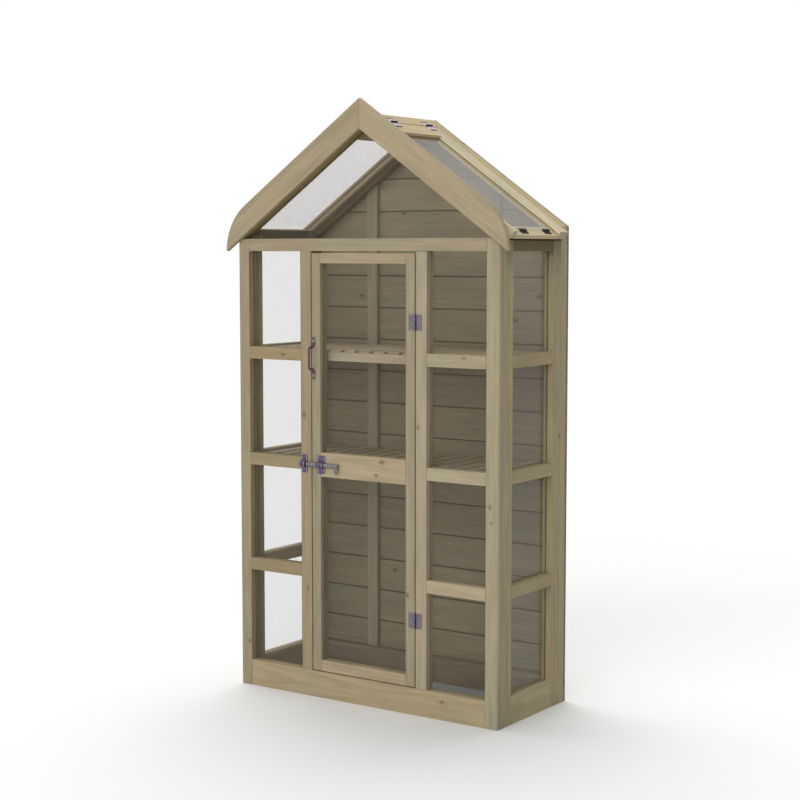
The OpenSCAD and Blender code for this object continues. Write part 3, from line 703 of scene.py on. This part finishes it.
def plate_metal(node):
    """The bolt's strap or keep, with painted shade, a painted highlight on the bend and painted
    shade again at either end.
    """
    low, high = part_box(node)
    middle = (low.x + high.x) / 2
    half = (high.x - low.x) / 2
    return plated_metal("zinc_" + node, (122, 108, 146), 0.3, metallic=0.7, patches=0.5, bands=[
        ("x", middle, half, 0.0018, PAINTED_SHADE),
        ("x", middle, half - 0.0032, 0.0011, GLINT),
        ("x", middle, half - 0.0068, 0.0014, PAINTED_SHADE)])


def dress_metal():
    """Dresses the ironmongery, and returns its black coat for the screws of handle and clips."""
    # The door hinges have painted shade beside their pins
    zinc = plated_metal("zinc_plate", (140, 134, 143), 0.5, metallic=0.35, bands=[
        ("x", DOOR_PIN_X, 0.0046, 0.0018, PAINTED_SHADE)])
    # The vent hinges are nearly white as a painted highlight, with painted shade at their pins and
    # leaf ends
    pin_x = sum(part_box("vent_hinge_pins"), Vector()).x / 2
    leaf_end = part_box("vent_hinge_moving_leaves")[1].x - pin_x
    painted_glare = plated_metal("shiny_zinc", (240, 233, 244), 0.35, metallic=0.3, bands=[
        ("x", pin_x, 0, 0.0048, PAINTED_SHADE), ("x", pin_x, leaf_end, 0.0035, PAINTED_SHADE)])
    black = plated_metal("brown_black_coat", (44, 38, 36), 0.5, metallic=0.2)
    metals = {
        "bolt_rod": plated_metal("rod_zinc", (158, 157, 156), 0.28, metallic=0.8, patches=0.4),
        "bolt_strap": plate_metal("bolt_strap"),
        "bolt_keep": plate_metal("bolt_keep"),
        # The handle's feet carry a painted highlight
        "door_handle": plated_metal(
            "handle_zinc", (112, 98, 122), 0.3, metallic=0.8, patches=0.5, bands=[
                ("z", HANDLE_Z, HANDLE_FOOT, 0.0155, FOOT_GLINT)]),
        "vent_pane_clips": black,
    }
    for node in nodes:
        if node.startswith("door_hinge"):
            metals[node] = zinc
        elif node.startswith("vent_hinge"):
            metals[node] = painted_glare
    for node, metal in metals.items():
        dress(node, metal)
        eased(nodes[node], METAL_EDGE)
    return black


# A screw head: its radius, the thickness of its rim, the height over which its raised top begins
# and how far out its recess reaches
HEAD = 0.0036
RIM = 0.0012
TOP = 0.0008
RECESS = 0.0026
# The two steps that round the head: inward, as a share of the radius, and upward
ROUNDING = ((0.14, 0.00018), (0.2, 0.00012))
# Half the width of a bar of the cross, as a share of the radius, and its depth
CROSS_HALF = 0.13
CROSS_DEPTH = 0.0007
# Each screw's cross is turned by this much more than the last one's
NEXT_TURN = 0.7


def screw_blank():
    """A raised screw head about its axis Z, with a cross driven into it. The middle of its rim is
    at the origin."""
    bpy.ops.object.select_all(action="DESELECT")
    bpy.ops.mesh.primitive_cylinder_add(vertices=24, radius=HEAD, depth=RIM)
    screw = bpy.context.object
    bpy.ops.object.mode_set(mode="EDIT")

    def choose(wanted):
        bpy.ops.mesh.select_all(action="DESELECT")
        bpy.ops.object.mode_set(mode="OBJECT")
        for face in screw.data.polygons:
            face.select = wanted(face)
        bpy.ops.object.mode_set(mode="EDIT")

    def on_top(face):
        return face.normal.z > 0.99 and face.center.z > TOP

    bpy.ops.mesh.select_mode(type="FACE")
    choose(lambda face: face.normal.z > 0.9)
    for inward, upward in ROUNDING:
        bpy.ops.mesh.inset(thickness=HEAD * inward, depth=0)
        bpy.ops.transform.translate(value=(0, 0, upward))
    half = HEAD * CROSS_HALF
    for place, normal in (((half, 0, 0), (1, 0, 0)), ((-half, 0, 0), (1, 0, 0)),
                          ((0, half, 0), (0, 1, 0)), ((0, -half, 0), (0, 1, 0))):
        choose(on_top)
        bpy.ops.mesh.bisect(plane_co=place, plane_no=normal)
    choose(lambda face: on_top(face) and min(abs(face.center.x), abs(face.center.y)) < half)
    bpy.ops.mesh.extrude_region_move(TRANSFORM_OT_translate={"value": (0, 0, -CROSS_DEPTH)})
    bpy.ops.object.mode_set(mode="OBJECT")
    bpy.ops.object.shade_smooth_by_angle(angle=math.radians(35))
    for face in screw.data.polygons:
        face.material_index = int(0 < face.center.z < TOP
                                  and math.hypot(face.center.x, face.center.y) < RECESS)
    return screw


def on_front(x, z, out):
    """A point out from the front face."""
    return Vector((x, FRONT_Y - out, z))


def on_slope(down, back, out):
    """A point down the right slope from the ridge, back from the front face and out of the roof."""
    return Vector((down * math.cos(PITCH) + out * math.sin(PITCH), FRONT_Y + back,
                   RIDGE_Z - down * math.sin(PITCH) + out * math.cos(PITCH)))


# Where the screws sit in the ironmongery. Hinges: from the pin to either row of holes, from the
# hinge's middle to the holes of the door's and of the vent's leaves, and the leaves' thickness.
LEAF_HOLE = 0.0155
DOOR_HOLE_UP = 0.0165
VENT_HOLE_BACK = 0.010
LEAF_OUT = 0.002
# Bolt: from its axis up and down to the holes, from the strap's middle to its holes, and the
# plates' thickness
PLATE_HOLE_UP = 0.022
STRAP_HOLE = 0.009
PLATE_OUT = 0.0025
# Thickness of the handle's feet, and the clips' place below the face of the roof
FOOT_OUT = 0.003
CLIP_OUT = -0.013
# Radii of the smaller heads
LEAF_HEAD = 0.0034
VENT_HEAD = 0.003


def screw_places():
    """Name, body, radius, place and outward direction of each screw through the hinge leaves,
    handle feet, strap, keep and clips. Their order gives the turns of the crosses."""
    forward = Vector((0, -1, 0))
    off_slope = Vector((math.sin(PITCH), 0, math.cos(PITCH)))
    ends = (-1, 1)
    for i, z in enumerate(DOOR_HINGES_Z):
        for k in ends:
            for side, body, leaf in ((1, "root", "frame"), (-1, "door", "door")):
                place = on_front(DOOR_PIN_X + side * LEAF_HOLE, z + k * DOOR_HOLE_UP, LEAF_OUT)
                yield "hinge_screw_%s_%d_%d" % (leaf, i, k + 1), body, LEAF_HEAD, place, forward
    for k in ends:
        bolt_z = BOLT_Z + k * PLATE_HOLE_UP
        place = on_front(HANDLE_X, HANDLE_Z + k * HANDLE_FOOT, FOOT_OUT)
        yield "handle_screw_%d" % (k + 1), "door", HEAD, place, forward
        place = on_front(KEEP_X, bolt_z, PLATE_OUT)
        yield "keep_screw_%d" % (k + 1), "root", HEAD, place, forward
        for side in ends:
            place = on_front(STRAP_X + side * STRAP_HOLE, bolt_z, PLATE_OUT)
            yield "strap_screw_%d_%d" % (k + 1, side + 1), "door", HEAD, place, forward
    for i, back in enumerate(VENT_HINGES_BACK):
        for k in ends:
            for side, body, leaf in ((-1, "root", "ridge"), (1, "vent", "vent")):
                place = on_slope(VENT_PIN_DOWN + side * LEAF_HOLE, back + k * VENT_HOLE_BACK,
                                 LEAF_OUT)
                yield "vent_screw_%s_%d_%d" % (leaf, i, k + 1), body, VENT_HEAD, place, off_slope
    for i, back in enumerate(CLIPS_BACK):
        place = on_slope(CLIPS_DOWN, back, CLIP_OUT)
        yield "clip_screw_%d" % i, "vent", LEAF_HEAD, place, off_slope


def set_screws(black):
    bright = plated_metal("bright_zinc", (150, 142, 160), 0.3, metallic=0.8, patches=0.5)
    recess = plated_metal("screw_recess", (52, 46, 46), 0.6, metallic=0.4)
    blank = screw_blank()
    for number, (name, body, radius, place, outward) in enumerate(screw_places()):
        screw = bpy.data.objects.new(name, blank.data.copy())
        bpy.context.collection.objects.link(screw)
        screw.data.materials.append(black if name.startswith(("clip", "handle")) else bright)
        screw.data.materials.append(recess)
        turn = outward.to_track_quat("Z", "Y").to_matrix().to_4x4()
        screw.data.transform(Matrix.Translation(place) @ turn
                             @ Matrix.Rotation(number * NEXT_TURN, 4, "Z")
                             @ Matrix.Scale(radius / HEAD, 4))
        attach(screw, body)
    bpy.data.objects.remove(blank)


# Strength of the sky where it lights a surface and where metal and glass mirror it. It is seen
# as white.
SKY = 0.30
MIRRORED_SKY = 0.62
# A low softbox in front, and a higher one over the roof whose shade falls to the front right:
# name, direction, strength, and how wide it looks in degrees
SOFTBOXES = (
    ("front_softbox", (0.10, -0.95, 0.30), 1.75, 70),
    ("overhead_softbox", (-0.34, 0.34, 0.88), 2.15, 64),
)
LAMP_DISTANCE = 6
FLOOR_WIDTH = 60


def set_sky():
    world = bpy.data.worlds.new("studio")
    bpy.context.scene.world = world
    world.use_nodes = True
    world.node_tree.nodes.clear()
    shade = Shade(world.node_tree)
    camera_ray = shade.make("LightPath", out="Is Camera Ray")
    glossy_ray = shade.make("LightPath", out="Is Glossy Ray")
    clear_ray = shade.make("LightPath", out="Is Transmission Ray")
    seen = (camera_ray + clear_ray).clipped()
    strength = seen * (1 - SKY) + glossy_ray * (1 - seen) * (MIRRORED_SKY - SKY) + SKY
    shade.make("Background", {"Color": (1, 1, 1, 1), "Strength": strength}).show("World")


def set_stage():
    bpy.ops.object.select_all(action="DESELECT")
    bpy.ops.mesh.primitive_plane_add(size=FLOOR_WIDTH, location=(0, 0, 0))
    floor = bpy.context.object
    floor.name = "floor"
    floor.data.materials.append(floor_material())
    set_sky()
    for name, direction, strength, spread in SOFTBOXES:
        bpy.ops.object.light_add(type="SUN", location=Vector(direction) * LAMP_DISTANCE)
        lamp = bpy.context.object
        lamp.name = name
        lamp.data.energy = strength
        lamp.data.angle = math.radians(spread)
        lamp.rotation_euler = Vector(direction).to_track_quat("Z", "Y").to_euler()
        lamp.visible_glossy = False


set_camera()
dress_timbers()
dress_panes()
set_screws(dress_metal())
set_stage()
bpy.context.scene.view_settings.view_transform = "Standard"
